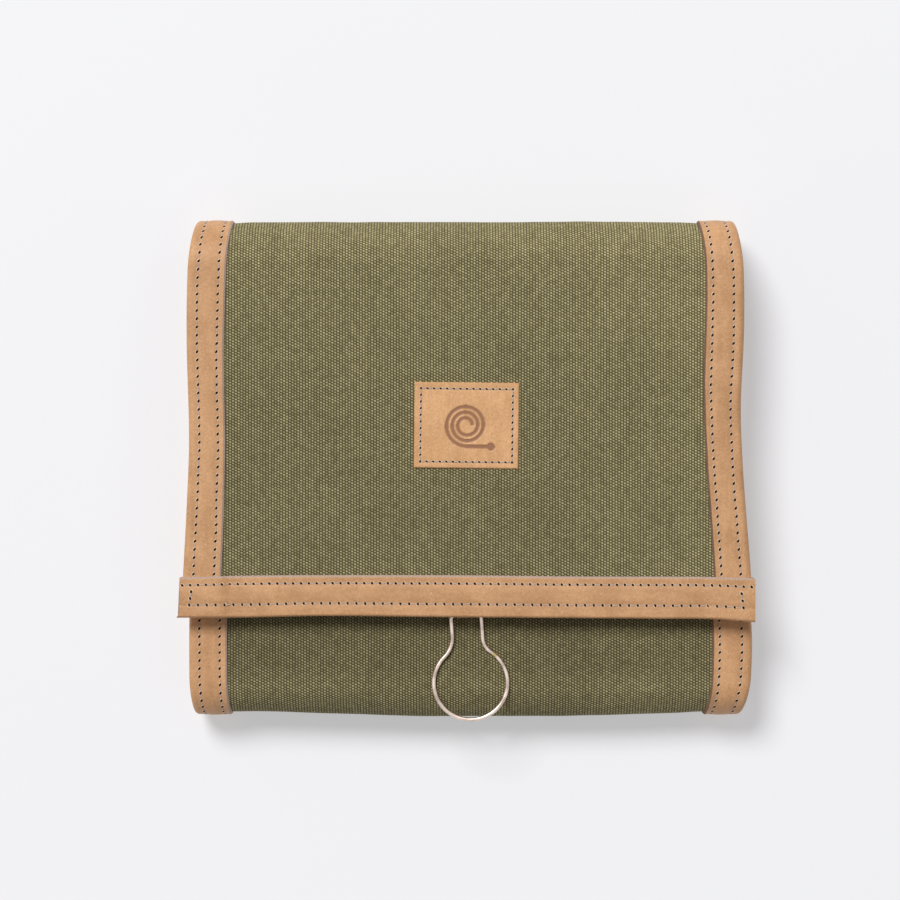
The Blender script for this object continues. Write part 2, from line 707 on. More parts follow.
OLIVE = woven("olive_canvas",
              ((0.062, 0.052, 0.023, 1), (0.292, 0.248, 0.118, 1), (0.575, 0.506, 0.268, 1)),
              1.29 * MM, 1.29 * MM, 0.3 * MM, worn=True)
KHAKI = woven("khaki_lining",
              ((0.11, 0.095, 0.055, 1), (0.22, 0.195, 0.125, 1), (0.34, 0.305, 0.205, 1)),
              0.55 * MM, 0.55 * MM, 0.1 * MM, roughness=0.75, wander=0.1)
ZIP_TAPE = woven("zip_tape",
                 ((0.05, 0.044, 0.026, 1), (0.12, 0.105, 0.062, 1), (0.20, 0.178, 0.108, 1)),
                 0.4 * MM, 0.8 * MM, 0.08 * MM, roughness=0.7, wander=0.05)
TAN = leather("natural_leather",
              (0.650, 0.356, 0.172, 1), (0.530, 0.280, 0.128, 1), (0.79, 0.49, 0.29, 1))
PATCH_TAN = leather("patch_leather",
                    (0.765, 0.428, 0.207, 1), (0.640, 0.344, 0.152, 1), (0.88, 0.58, 0.33, 1),
                    pressed_colour=(0.33, 0.155, 0.080, 1))
PRICKED = leather("pricked_leather",
                  (0.88, 0.64, 0.42, 1), (0.76, 0.52, 0.32, 1), (0.94, 0.74, 0.52, 1))
CUT = raw_edge("leather_cut_edge", (0.43, 0.30, 0.24, 1), (0.62, 0.46, 0.385, 1))
BURNT_CUT = raw_edge("darkened_cut_edge", (0.12, 0.065, 0.040, 1), (0.27, 0.155, 0.100, 1))
THREAD = thread()
NEEDLE_HOLE = needle_hole()
WIRE = plated_wire()
BRASS = aged_brass()
MESH = open_mesh()
ELASTIC = ribbed_elastic()
LOOP_TAPE = closure_tape("loop_tape", True)
HOOK_TAPE = closure_tape("hook_tape", False)


# ---------------------------------------------------------------- stitching

def stitch_parts(at, marks, slant, thread_r, hole):
    """Thread and slanted needle holes along a row. at(mark) gives the surface point and normal."""
    spots = [at(mark) for mark in marks]
    turns = [math.pi * i / 3 for i in range(6)]
    slits = []
    for k, (spot, up) in enumerate(spots):
        ahead = (spots[min(k + 1, len(spots) - 1)][0] - spots[max(k - 1, 0)][0]).normalized()
        turn = math.radians(slant + SLANT_PLAY * math.sin(3.1 * k))
        slits.append(ahead * math.cos(turn) + up.cross(ahead) * math.sin(turn))
    parts = []
    for k in range(len(spots) - 1):
        (a, up_a), (b, up_b) = spots[k], spots[k + 1]
        a = a + slits[k] * hole[0] * 0.5
        b = b - slits[k + 1] * hole[0] * 0.5
        up = (up_a + up_b).normalized()
        side = up.cross((b - a).normalized())
        rings, cloth = [], []
        for t in (0.0, 0.12, 0.5, 0.88, 1.0):
            lift = thread_r * (1.5 * math.sin(math.pi * t) ** 0.6 - 0.7)
            centre = a.lerp(b, t) + up * lift
            rings.append([centre + side * thread_r * math.cos(q) + up * thread_r * math.sin(q)
                          for q in turns])
            cloth += [(0.0, (k + t) * PITCH, 2.1 * i) for i in range(len(turns))]
        verts, faces = sweep(rings)
        parts.append((verts, faces, 0, cloth))
    for (spot, up), slit in zip(spots, slits):
        parts += needle_hole_parts(spot, up, slit, hole)
    return parts


# The rings of a needle hole, from under the rim to its bottom: how far each reaches along and across the
# hole, as parts of its size, and its height in mm
HOLE_RINGS = ((1.3, 1.9, -0.10), (1.15, 1.45, 0.12), (1.0, 1.0, 0.14), (0.6, 0.5, 0.13))
HOLE_SIDES = 10


def needle_hole_parts(spot, up, slit, hole):
    """A slanted oval hole with a raised, paler rim at its flanks, as a small closed form."""
    flank = up.cross(slit)
    turns = [2 * math.pi * i / HOLE_SIDES for i in range(HOLE_SIDES)]
    rings = []
    for reach, spread, height in HOLE_RINGS:
        rings.append([spot + up * height * MM + slit * (hole[0] * reach * math.cos(q))
                      + flank * (hole[1] * spread * math.sin(q)) for q in turns])
    verts, faces = sweep(rings)
    cloth = [tuple(v) for v in verts]
    rim = faces[:2 * HOLE_SIDES] + [faces[-2]]
    dark = faces[2 * HOLE_SIDES:3 * HOLE_SIDES] + [faces[-1]]
    return [(verts, rim, 1, cloth), (verts, dark, 2, cloth)]


def seam(name, rows, rim=None, slant=-30, thread_r=THREAD_R, hole=HOLE):
    """One object for several rows of stitches, each given as (at, marks) or (at, marks, slant)."""
    parts = []
    for at, marks, *own_slant in rows:
        parts += stitch_parts(at, marks, own_slant[0] if own_slant else slant, thread_r, hole)
    verts, faces, slots, cloth = merge(parts)
    return finish_mesh(name, verts, faces, cloth, (THREAD, rim or PRICKED, NEEDLE_HOLE), slots)


def marks_between(start, stop, pitch=PITCH):
    """Stitch marks that fill a row evenly, at about the given pitch."""
    return evenly(start, stop, max(1, round(abs(stop - start) / pitch)))


# ---------------------------------------------------------------- cloth layers

def relief(x, s):
    """Soft lumps of the padded canvas between its bindings, and its swell at the folds; each in mm."""
    inside = smooth((HALF_W - BIND_W - abs(x)) / (13 * MM))
    lumps = 0.30 * wobble(x, s, 34 * MM, 1.0) + 0.14 * wobble(x, s, 12 * MM, 4.0)
    on_front = smooth((s - S_FRONT + 12 * MM) / (8 * MM))
    wrinkles = 0.30 * wobble(x * 0.45, s, 8.5 * MM, 9.0) * on_front
    puff = 0.35 * smooth((s - 12 * MM) / (40 * MM)) * smooth((S_TOP - s) / (30 * MM))
    swell = 0.5 * on_front * smooth((S_END - 50 * MM - s) / (30 * MM))
    top_roll = 0.8 * math.exp(-((s - S_TOP_MID) / (11 * MM)) ** 2)
    sag = smooth((115 * MM - abs(x - 12 * MM)) / (90 * MM))
    bottom_roll = 2.1 * sag * math.exp(-((s - S_BOTTOM_MID) / (12 * MM)) ** 2)
    return (lumps + wrinkles + puff + swell + top_roll + bottom_roll) * MM * inside


def layer(name, stretch, top, thick, margin, material, step):
    """A closed sheet along a stretch, whose outer face is top(x, s) outward from the canvas's face.

    margin is how far its edges stay inside the bindings' outer edges.
    """
    s0, s1 = STRETCHES[stretch][:2]
    count = math.ceil(2 * HALF_W / (step * 1.25))
    outer, inner, cloth = [], [], []
    for s in steps(s0, s1, step):
        left, right = edge_x(-1, s) + margin, edge_x(1, s) - margin
        xs = evenly(left, right, count)
        heights = [top(x, s) for x in xs]
        outer.append([place(x, s, h) for x, h in zip(xs, heights)])
        inner.append([place(x, s, h - thick) for x, h in zip(xs, heights)])
        cloth += [(x, s, 0.0) for x in xs] + [(x, s, -thick) for x in reversed(xs)]
    verts, faces = shell(outer, inner)
    return finish_mesh(name, verts, faces, cloth, (material,))


def sewn_sheet(piece, stretch, slot, rests, *also_replaces):
    """Joins a layer to the frame as a folded sheet of cloth that stands for its CAD solids."""
    bend_with(piece, stretch)
    s0, s1 = STRETCHES[stretch][:2]
    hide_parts(rests, *also_replaces)


CANVAS_STEP = 2.2 * MM
LINING_STEP = 3.2 * MM


def canvas(stretch, *replaced):
    """The outer canvas of a stretch, with its edges inside the side bindings."""
    margin = LEATHER + 0.4 * MM
    piece = layer(stretch + "_outer_canvas", stretch, relief, CANVAS, margin, OLIVE, CANVAS_STEP)
    sewn_sheet(piece, stretch, "canvas", *replaced)


def lining(stretch, *replaced):
    """The inner lining of a stretch, a little slack over the foam."""
    def top(x, s):
        return LINING - thickness(s) + 0.12 * MM * wobble(x, s, 20 * MM, 6.0)

    margin = LEATHER + 0.7 * MM
    piece = layer(stretch + "_inner_lining", stretch, top, LINING * 0.8, margin, KHAKI, LINING_STEP)
    sewn_sheet(piece, stretch, "lining", *replaced)


# ---------------------------------------------------------------- side bindings

EDGE_R = 2.3 * MM
BEVEL = 0.75 * MM                   # how much of the cut edge shows from above
CUT_T = 0.45 * MM                   # how far down from the leather's face its cut edge starts to show
NEAR_ROW = [0.9 * MM, 0.45 * MM, 0.0, -0.45 * MM, -0.9 * MM]
BINDING_STEP = 1.3 * MM
STRIP_STEP = 1.5 * MM


def row_groove(u, *rows):
    """How deep the leather dips at u because of the stitch rows near it, in mm."""
    return GROOVE * sum(math.exp(-((u - row) / GROOVE_W) ** 2) for row in rows)


def row_puff(u, start, stop, height):
    """How far the leather swells between two rows of stitches, in mm."""
    if not start < u < stop:
        return 0.0
    return height * math.sin(math.pi * (u - start) / (stop - start)) ** 0.7


def leaf_height(u, width):
    """How far a binding's leaf stands off the cloth, u inward from its outer edge."""
    inner_row = width - ROW_IN
    curl = 0.18 * smooth((u - inner_row) / ROW_IN)
    puff = row_puff(u, ROW_OUT, inner_row, 0.28)
    return LEATHER + (puff + curl - row_groove(u, ROW_OUT, inner_row)) * MM


def leaf_samples(width):
    """Where a leaf is sampled, from its inner edge outward: closer along the stitch rows."""
    inner = [width - ROW_IN + d for d in NEAR_ROW]
    outer = [ROW_OUT + d for d in NEAR_ROW]
    middle = evenly(inner[-1], outer[0], 5)[1:-1]
    rim = [EDGE_R + 0.8 * MM, EDGE_R + 0.3 * MM]
    return [width - BEVEL, width - 1.4 * MM] + inner + middle + outer + rim


def channel_section(samples, height, reach, up, down, edge_r):
    """Leather folded round an edge, as (inward, level) points, and which of its runs are cut leather."""
    points = [(reach + 0.1 * MM, up), (reach, up + LEATHER - CUT_T)]
    points += [(u, up + height(u)) for u in samples]
    middle, rise = (up + down) / 2, (up - down) / 2 + LEATHER
    for i in range(11):
        a = math.pi / 2 - math.pi * i / 10
        points.append((edge_r * (1 - math.cos(a)), middle + rise * math.sin(a)))
    points += [(u, down - height(u)) for u in reversed(samples)]
    points += [(reach, down - LEATHER + CUT_T), (reach + 0.1 * MM, down)]
    points += [(edge_r, down), (LEATHER + 0.1 * MM, middle), (edge_r, up)]
    last = 2 * len(samples) + 12
    return points, {0, 1, last, last + 1}


def cut_slots(rings, cut):
    """Which faces of a swept channel are cut leather: the given runs of its section, and its ends."""
    one_ring = [1 if c in cut else 0 for c in range(len(rings[0]))]
    return one_ring * (len(rings) - 1) + [1, 1]


def binding(stretch, side, *replaced, extra=0.0):
    """The leather folded round one side of a stretch, with its stitching."""
    s0, s1 = STRETCHES[stretch][:2]
    s1 += extra
    label = "left" if side < 0 else "right"
    rings, cloth = [], []
    for s in steps(s0, s1, BINDING_STEP):
        outer = edge_x(side, s)
        width = bind_width(side, s) + 0.15 * MM * wobble(s, side, 20 * MM, 2.0)
        points, cut = channel_section(leaf_samples(width), lambda u: leaf_height(u, width), width,
                                      0.0, -thickness(s), EDGE_R)
        rings.append([place(outer - side * u, s, n) for u, n in points])
        cloth += [(outer - side * u, s, n) for u, n in points]
    verts, faces = sweep(rings)
    leathers = (TAN, CUT if side < 0 else BURNT_CUT)
    name = f"{stretch}_binding_{label}"
    piece = finish_mesh(name, verts, faces, cloth, leathers, cut_slots(rings, cut))
    bend_with(piece, stretch)
    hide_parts(*replaced)
    rows = [(binding_row(side, from_edge, outward), marks_between(s0, s1))
            for from_edge in (True, False) for outward in (True, False)]
    stitched = seam(f"{stretch}_stitches_{label}", rows)
    bend_with(stitched, stretch)


def binding_row(side, from_edge, outward):
    """Where a row of stitches lies: by the outer or the inner edge, on the outer or the inner leaf."""
    def at(s):
        width = bind_width(side, s)
        u = ROW_OUT if from_edge else width - ROW_IN
        u += 0.22 * MM * wobble(s, side + from_edge, 12 * MM, 5.0)
        height = leaf_height(u, width)
        n = height if outward else -thickness(s) - height
        _, _, ny, nz = on_route(s)
        way = 1 if outward else -1
        return place(edge_x(side, s) - side * u, s, n), Vector((0, ny * way, nz * way))
    return at


# ---------------------------------------------------------------- folded strips along X

def strip_height(v, rows):
    """How far a folded strip's leaf stands off what it covers, v from its folded edge."""
    return LEATHER + (row_puff(v, *rows, 0.30) - row_groove(v, *rows)) * MM


def folded_strip(name, half, fold_y, cut_y, top_z, under_z, rows, edge_r, tag=0.0):
    """Leather folded over an edge along X, from its cut edge on top to the one underneath.

    tag is how far the folded edge's left corner stands out.
    """
    reach = abs(cut_y(0) - fold_y(0))
    upper, lower = [rows[1] + d for d in NEAR_ROW], [rows[0] + d for d in NEAR_ROW]
    middle = evenly(upper[-1], lower[0], 5)[1:-1]
    samples = [reach - BEVEL, reach - 1.3 * MM] + upper + middle + lower
    samples = [v for v in samples + [edge_r + 1.4 * MM, edge_r + 0.5 * MM] if v > edge_r]
    samples = sorted(samples, reverse=True)
    rings, cloth = [], []
    for x in steps(-half, half, STRIP_STEP):
        y0 = fold_y(x)
        scale = (cut_y(x) - y0) / reach
        points, cut = channel_section(samples, lambda v: strip_height(v, rows), reach,
                                      top_z(x), under_z(x), edge_r)
        out = tag if not rings else 0.0
        rings.append([Vector((x - out * max(0.0, 1 - v / (3 * MM)) ** 1.5, y0 + scale * v, z))
                      for v, z in points])
        cloth += [(y0 + scale * v, x, z) for v, z in points]
    verts, faces = sweep(rings)
    return finish_mesh(name, verts, faces, cloth, (TAN, CUT), cut_slots(rings, cut))


def strip_row(v, fold_y, cut_y, top_z, under_z, rows, outward=True):
    """Where a row of stitches lies on a folded strip, on its outer or its inner leaf."""
    reach = abs(cut_y(0) - fold_y(0))
    way = 1 if outward else -1

    def at(x):
        height = strip_height(v, rows)
        z = top_z(x) + height if outward else under_z(x) - height
        y = fold_y(x) + (cut_y(x) - fold_y(x)) / reach * v
        return Vector((x, y + 0.12 * MM * wobble(x, v, 10 * MM, 3.0), z)), Vector((0, 0, way))
    return at


# ---------------------------------------------------------------- flap band, patch and hook

BAND_ROWS = (6.15 * MM, 15.4 * MM)
BAND_EDGE_R = 1.1 * MM
BAND_HOLE = (0.84 * MM, 0.58 * MM)
BAND_TAG = 1.7 * MM
# The band's folded and cut edges, which run a little wavy: (x, y) in mm from where the CAD band has them
BAND_FOLD = ((-131, 0.9), (-100, 1.0), (-65, 1.7), (-15, 1.2), (30, 0.85), (88, 0.4), (110, 0.3),
             (125, -0.7), (131, -1.2))
BAND_CUT = ((-131, -0.3), (-100, 0.5), (-60, 0.7), (0, 0.6), (50, 0.1), (110, -0.1), (131, -0.7))
# Each long row of its stitches: place across the band, left and right ends, pitch, all in mm, and slant
BAND_SEAMS = ((BAND_ROWS[1], -129.3, 128.9, 3.58, -52), (BAND_ROWS[0], -126.2, 125.2, 3.97, -65))
# The short rows that close its ends: x at the lower and at the upper row, in mm
BAND_ENDS = ((-126.2, -124.8), (125.2, 123.9))


def band_lift(x):
    """The band rides over the two side bindings near its ends."""
    return LEATHER * smooth((abs(x) - (HALF_W - BIND_W - 3 * MM)) / (4 * MM))


def band_fold_y(x):
    return BAND_Y + through(BAND_FOLD, x / MM) * MM


def band_cut_y(x):
    return BAND_Y + BAND_H + through(BAND_CUT, x / MM) * MM


def band_top(x):
    return FLAP_Z + band_lift(x) + 0.25 * MM * wobble(x, 0.0, 30 * MM, 5.0) - 0.1 * MM


def band_under(x):
    return FLAP_Z - FLAP_THICK - band_lift(x)


def flap_band():
    """The leather band folded over the flap's free edge, with its stitching."""
    shape = (band_fold_y, band_cut_y, band_top, band_under, BAND_ROWS)
    band = folded_strip("leather_band", BAND_HALF, *shape, BAND_EDGE_R, tag=BAND_TAG)
    belongs(band, "flap", "trim_leather", "flap_band")
    rows = []
    for v, left, right, pitch, slant in BAND_SEAMS:
        marks = marks_between(left * MM, right * MM, pitch * MM)
        for outward in (True, False):
            rows.append((strip_row(v, *shape, outward), marks, slant))
    for lower_x, upper_x in BAND_ENDS:
        def end_row(v, lower_x=lower_x * MM, upper_x=upper_x * MM):
            x = mix(lower_x, upper_x, (v - BAND_ROWS[0]) / (BAND_ROWS[1] - BAND_ROWS[0]))
            return strip_row(v, *shape)(x)
        rows.append((end_row, marks_between(*BAND_ROWS, 3.1 * MM)[:-1], 20))
    belongs(seam("band_stitches", rows, hole=BAND_HOLE), "flap", "trim_leather")


def coil_mark(x, y):
    """How deep a plain mark of a coiled cable with a round plug is pressed, from 0 to 1, at x, y in mm."""
    start, lap, laps, half_line = 2.6, 2.55, 2.75, 0.62
    end = start + lap * laps
    reach, turn = math.hypot(x, y), math.atan2(y, x) / (2 * math.pi)
    gap = min(abs(reach - (start + lap * (k + turn % 1.0))) for k in range(3) if k + turn % 1.0 <= laps)
    tail = math.hypot(min(0.0, x) + max(0.0, x - 9.5), y + end)
    plug_end = math.hypot(x - 11.2, y + end) - 1.1
    return 1 - smooth((min(gap, tail, plug_end) - half_line) / 0.28)


PATCH_TILT = math.radians(-0.7)
PATCH_INSET = 2.9 * MM
PATCH_STEP = 0.42 * MM
PATCH_THREAD_R = 0.26 * MM
PATCH_HOLE = (0.76 * MM, 0.46 * MM)


def patch_height(x, y, half_w, half_h):
    """Height over the canvas and depth of the mark at a point of the patch."""
    side = min(half_w - abs(x), half_h - abs(y))
    fall = 0.42 * (1 - min(1.0, side / (0.55 * MM))) ** 2
    groove = 0.14 * math.exp(-((side - PATCH_INSET) / GROOVE_W) ** 2)
    puff = 0.22 * smooth((side - PATCH_INSET) / (7 * MM))
    press = coil_mark(x / MM, y / MM)
    wave = 0.12 * wobble(x, y, 20 * MM, 8.0)
    return LEATHER + (puff + wave - fall - groove - 0.4 * press) * MM, press


def leather_patch():
    """The stitched patch on the flap, with a plain coil pressed into it."""
    (x0, y0, _), (x1, y1, _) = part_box("leather_patch")
    half_w, half_h = (x1 - x0) / 2, (y1 - y0) / 2 - 0.25 * MM
    centre = Vector(((x0 + x1) / 2 - 0.4 * MM, (y0 + y1) / 2, FLAP_Z))
    turn = Matrix.Rotation(PATCH_TILT, 3, "Z")

    def spot(x, y, z):
        return centre + turn @ Vector((x, y, z))

    xs, ys = steps(-half_w, half_w, PATCH_STEP), steps(-half_h, half_h, PATCH_STEP)
    outer, inner, cloth, pressed = [], [], [], []
    for y in ys:
        tops = [patch_height(x, y, half_w, half_h) for x in xs]
        outer.append([spot(x, y, h) for x, (h, _) in zip(xs, tops)])
        inner.append([spot(x, y, -0.3 * MM) for x in xs])
        cloth += [(x, y, 0.0) for x in xs] + [(x, y, -LEATHER) for x in reversed(xs)]
        pressed += [d for _, d in tops] + [0.0] * len(xs)
    verts, faces = shell(outer, inner)
    cols = len(xs)
    slots = [1 if c in (cols - 1, 2 * cols - 1) else 0 for _ in ys[1:] for c in range(2 * cols)]
    slots += [1] * (len(faces) - len(slots))
    patch = finish_mesh("stitched_patch", verts, faces, cloth, (PATCH_TAN, CUT), slots, pressed)
    belongs(patch, "flap", "trim_leather", "leather_patch")

    w, h = half_w - PATCH_INSET, half_h - PATCH_INSET
    corners = [(-w, -h), (w, -h), (w, h), (-w, h), (-w, -h)]
    rows = []
    for a, b in zip(corners, corners[1:]):
        def at(t, a=a, b=b):
            x, y = mix(a[0], b[0], t), mix(a[1], b[1], t)
            return spot(x, y, patch_height(x, y, half_w, half_h)[0]), Vector((0, 0, 1))
        rows.append((at, evenly(0.0, 1.0, round(math.dist(a, b) / PATCH_PITCH))))
    stitched = seam("patch_stitches", rows, slant=-22, thread_r=PATCH_THREAD_R, hole=PATCH_HOLE)
    belongs(stitched, "flap", "trim_leather")


def arc(centre, radius, start, stop, count):
    """Points on an arc, angles in degrees."""
    angles = [math.radians(a) for a in evenly(start, stop, count)]
    return [(centre[0] + radius * math.cos(a), centre[1] + radius * math.sin(a)) for a in angles]


HOOK_SHIFT = -0.3 * MM
HOOK_LOOP_R = 16.85 * MM            # the round loop, to the middle of the wire
HOOK_REACH = 31.4 * MM              # from the crossbar to the loop's centre
HOOK_WIRE_R = 0.94 * MM
HOOK_LEG = 6.9 * MM                 # half the distance between the legs
HOOK_CORNER = 2 * MM
HOOK_FLARES = (8 * MM, 12.5 * MM)   # how wide the right and the left leg bend out to the loop


def hook_seat():
    """The hook's own frame: origin at the middle of its crossbar, the loop towards -Y."""
    pivot = next(j for j in frame["joints"] if j["name"] == "hook_swing")
    lean = math.atan2(-pivot["axis"][1], -pivot["axis"][0])
    return Matrix.Translation(pivot["pos_m"]) @ Matrix.Rotation(lean, 4, "Z")


def hook():
    """The round wire loop, bent from one length of wire whose ends meet under the band."""
    seat = hook_seat()

    def half(flare):
        """One side, from the crossbar's middle to where it meets the loop, and the angle there."""
        out = HOOK_LEG + flare
        rise = math.sqrt((HOOK_LOOP_R + flare) ** 2 - out ** 2)
        turn = math.degrees(math.atan2(rise, out))
        bend = HOOK_LEG - HOOK_CORNER
        points = [(0.0, 0.0), (bend, 0.0)] + arc((bend, -HOOK_CORNER), HOOK_CORNER, 90, 0, 6)[1:]
        points += [(HOOK_LEG, y) for y in evenly(-HOOK_CORNER, rise - HOOK_REACH, 8)[1:]]
        return points + arc((out, rise - HOOK_REACH), flare, 180, 180 + turn, 12)[1:], turn

    (right, right_turn), (left, left_turn) = [half(flare) for flare in HOOK_FLARES]
    path = right + arc((0.0, -HOOK_REACH), HOOK_LOOP_R, right_turn, -180 - left_turn, 84)[1:-1]
    path += [(-x, y) for x, y in reversed(left[1:])]
    rings, cloth, run = [], [], 0.0
    turns = [2 * math.pi * k / 16 for k in range(16)]
    for i, (x, y) in enumerate(path):
        before, after = path[i - 1], path[(i + 1) % len(path)]
        ahead = Vector((after[0] - before[0], after[1] - before[1], 0)).normalized()
        across = Vector((ahead.y, -ahead.x, 0))
        run += math.dist(path[i], before) if i else 0.0
        section = [(HOOK_WIRE_R * math.cos(q), HOOK_WIRE_R * math.sin(q)) for q in turns]
        cloth += [(out, run, up) for out, up in section]
        rings.append([seat @ (Vector((x + HOOK_SHIFT, y, up)) + across * out) for out, up in section])
    verts, faces = ring_sweep(rings)
    wire = finish_mesh("hanging_wire", verts, faces, cloth, (WIRE,))
    belongs(wire, "hook", "hook_wire", "wire_hook")


# ---------------------------------------------------------------- rounded forms used inside

def rounded_outline(x0, x1, y0, y1, corner, per_corner=6, edge_step=8 * MM):
    """Points round a rectangle with rounded corners, each with its outward direction."""
    points = []
    corners = ((x1 - corner, y1 - corner, 0), (x0 + corner, y1 - corner, 90),
               (x0 + corner, y0 + corner, 180), (x1 - corner, y0 + corner, 270))
    for k, (cx, cy, start) in enumerate(corners):
        for a in evenly(math.radians(start), math.radians(start + 90), per_corner):
            out = (math.cos(a), math.sin(a))
            points.append(((cx + corner * out[0], cy + corner * out[1]), out))
        nx, ny, next_start = corners[(k + 1) % 4]
        out = (math.cos(math.radians(next_start)), math.sin(math.radians(next_start)))
        here, there = points[-1][0], (nx + corner * out[0], ny + corner * out[1])
        for t in steps(0.0, 1.0, edge_step / max(edge_step, math.dist(here, there)))[1:-1]:
            points.append(((mix(here[0], there[0], t), mix(here[1], there[1], t)), out))
    return points


def slab(outline, levels):
    """A closed form from an outline and (inset, z) levels from its underside up."""
    rings = []
    for inset, z in levels:
        rings.append([Vector((x - inset * nx, y - inset * ny, z)) for (x, y), (nx, ny) in outline])
    return sweep(rings)


PANEL_STEP = 2.5 * MM


def panel_mesh(x0, x1, y0, y1, z0, z1, corner, crown=0.0, square_at=None):
    """A soft flat form with rounded rims and corners; square_at keeps one Y end's corners square."""
    thick = z1 - z0
    rim = thick * 0.45

    def half_at(y):
        near = min(y1 - y if square_at != y1 else corner, y - y0 if square_at != y0 else corner)
        cut = corner - math.sqrt(max(0.0, corner ** 2 - (corner - min(corner, near)) ** 2))
        return (x1 - x0) / 2 - cut

    ys = [y0, y0 + 0.4 * MM] + steps(y0 + 1.2 * MM, y1 - 1.2 * MM, PANEL_STEP) + [y1 - 0.4 * MM, y1]
    spread = evenly(-1, 1, math.ceil((x1 - x0) / PANEL_STEP))
    middle = (x0 + x1) / 2
    outer, inner, cloth = [], [], []
    for y in ys:
        half = half_at(y)
        xs = [middle + half * (abs(t) ** 0.92) * (1 if t > 0 else -1) for t in spread]
        tops = []
        for x in xs:
            near = max(0.0, min(half - abs(x - middle), y - y0, y1 - y))
            shoulder = rim * (1 - min(1.0, near / (0.9 * MM))) ** 2
            lumps = 0.25 * MM * wobble(x, y, 20 * MM, 7.0) if crown > 0 else 0.0
            swell = smooth(near / (14 * MM)) * (crown + lumps)
            tops.append(z1 - shoulder + swell)
        outer.append([Vector((x, y, z)) for x, z in zip(xs, tops)])
        inner.append([Vector((x, y, z - thick + 1.6 * max(0.0, z1 - z))) for x, z in zip(xs, tops)])
        cloth += [(x, y, 0.0) for x in xs] + [(x, y, -thick) for x in reversed(xs)]
    verts, faces = shell(outer, inner)
    return verts, faces, 0, cloth


def panels(name, material, *forms):
    """One piece of one or more soft flat forms."""
    verts, faces, slots, cloth = merge([panel_mesh(*form) for form in forms])
    return finish_mesh(name, verts, faces, cloth, (material,), slots)


def hoop(name, outline, section, material):
    """A section carried round a closed outline, and the way round it.

    section(run) gives the section's points there, each as (outward, level, place on the cloth).
    """
    rings, cloth, run = [], [], 0.0
    for k, ((x, y), (nx, ny)) in enumerate(outline):
        run += math.dist((x, y), outline[k - 1][0]) if k else 0.0
        points = section(run)
        rings.append([Vector((x + nx * out, y + ny * out, level)) for out, level, _ in points])
        cloth += [on_cloth for _, _, on_cloth in points]
    verts, faces = ring_sweep(rings)
    return finish_mesh(name, verts, faces, cloth, (material,)), run


CLOTH_PITCH = 3.0 * MM


def straight_row(a, b, z, up=1):
    """A straight row of stitches between two places at one level."""
    def at(t):
        return Vector((mix(a[0], b[0], t), mix(a[1], b[1], t), z)), Vector((0, 0, up))
    return at, evenly(0.0, 1.0, max(1, round(math.dist(a, b) / CLOTH_PITCH)))


def cloth_seam(name, rows, body, slot, rim):
    """Finer stitching than the leather's, with its holes rimmed in the cloth that they go through."""
    stitched = seam(name, rows, rim=rim, slant=-8, thread_r=0.19 * MM, hole=(0.42 * MM, 0.22 * MM))
    belongs(stitched, body, slot)


# ---------------------------------------------------------------- the two zipped pockets

POCKET_CORNER = 9 * MM
PIPING_R = 1.1 * MM
WALL_T = 0.8 * MM
WALL_LEVELS = (0.0, 0.12, 0.3, 0.5, 0.7, 0.88, 1.0)
MESH_HEM = 7 * MM


def pocket_walls(kind, material, slot):
    """A pocket's side walls: one strip of cloth round it, bowed out a little and standing on its hem."""
    node = f"{kind}_pocket_gusset"
    (x0, y0, z0), (x1, y1, z1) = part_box(node)
    inset = PIPING_R * 0.7
    outline = rounded_outline(x0 + inset, x1 - inset, y0 + inset, y1 - inset, POCKET_CORNER)

    def section(run):
        outside = []
        for t in WALL_LEVELS:
            bow = math.sin(math.pi * t) * (0.5 + 0.35 * wobble(run, t * (z1 - z0), 20 * MM, 1.0)) * MM
            outside.append((bow, mix(z0, z1, t)))
        line = outside + [(bow - WALL_T, z) for bow, z in reversed(outside)]
        return [(bow, z, (run, z, bow)) for bow, z in line]

    piece, run = hoop(f"{kind}_pocket_walls", outline, section, material)
    belongs(piece, "back_panel", slot, node)
    return outline


def pocket_piping(kind, outline, z):
    """Round leather piping where a pocket's walls meet its face."""
    turns = [2 * math.pi * i / 10 for i in range(10)]
    level = z - 0.6 * MM

    def section(run):
        return [(PIPING_R * math.cos(q), level + PIPING_R * math.sin(q), (PIPING_R * q, run, 0.0))
                for q in turns]

    piping, _ = hoop(f"{kind}_pocket_piping", outline, section, TAN)
    belongs(piping, "back_panel", "binding_leather")


def pocket_face(name, node, corner, material, slot, crown, zip_side):
    """Part of a pocket's face: rounded at its outer corners, square along the zip."""
    (x0, y0, z0), (x1, y1, z1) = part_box(node)
    square = y0 if zip_side < 0 else y1
    piece = panels(name, material, (x0 + 0.3 * MM, x1 - 0.3 * MM, y0, y1, z0, z1, corner, crown, square))
    belongs(piece, "back_panel", slot, node)
    return piece


def zip_tapes(kind):
    """The zip's two tapes, clear of its teeth, and brass on the teeth and stops."""
    node = f"{kind}_zip_tape"
    (x0, y0, z0), (x1, y1, z1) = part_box(node)
    middle = (y0 + y1) / 2
    clear = 1.2 * MM
    tapes = panels(f"{kind}_zip_tapes", ZIP_TAPE, (x0, x1, middle + clear, y1, z0, z1, 0.4 * MM),
                   (x0, x1, y0, middle - clear, z0, z1, 0.4 * MM))
    belongs(tapes, "back_panel", "canvas", node)
    for part in ("teeth", "stops"):
        metal = frame["nodes"][f"{kind}_zip_{part}"].data.materials
        metal.clear()
        metal.append(BRASS)


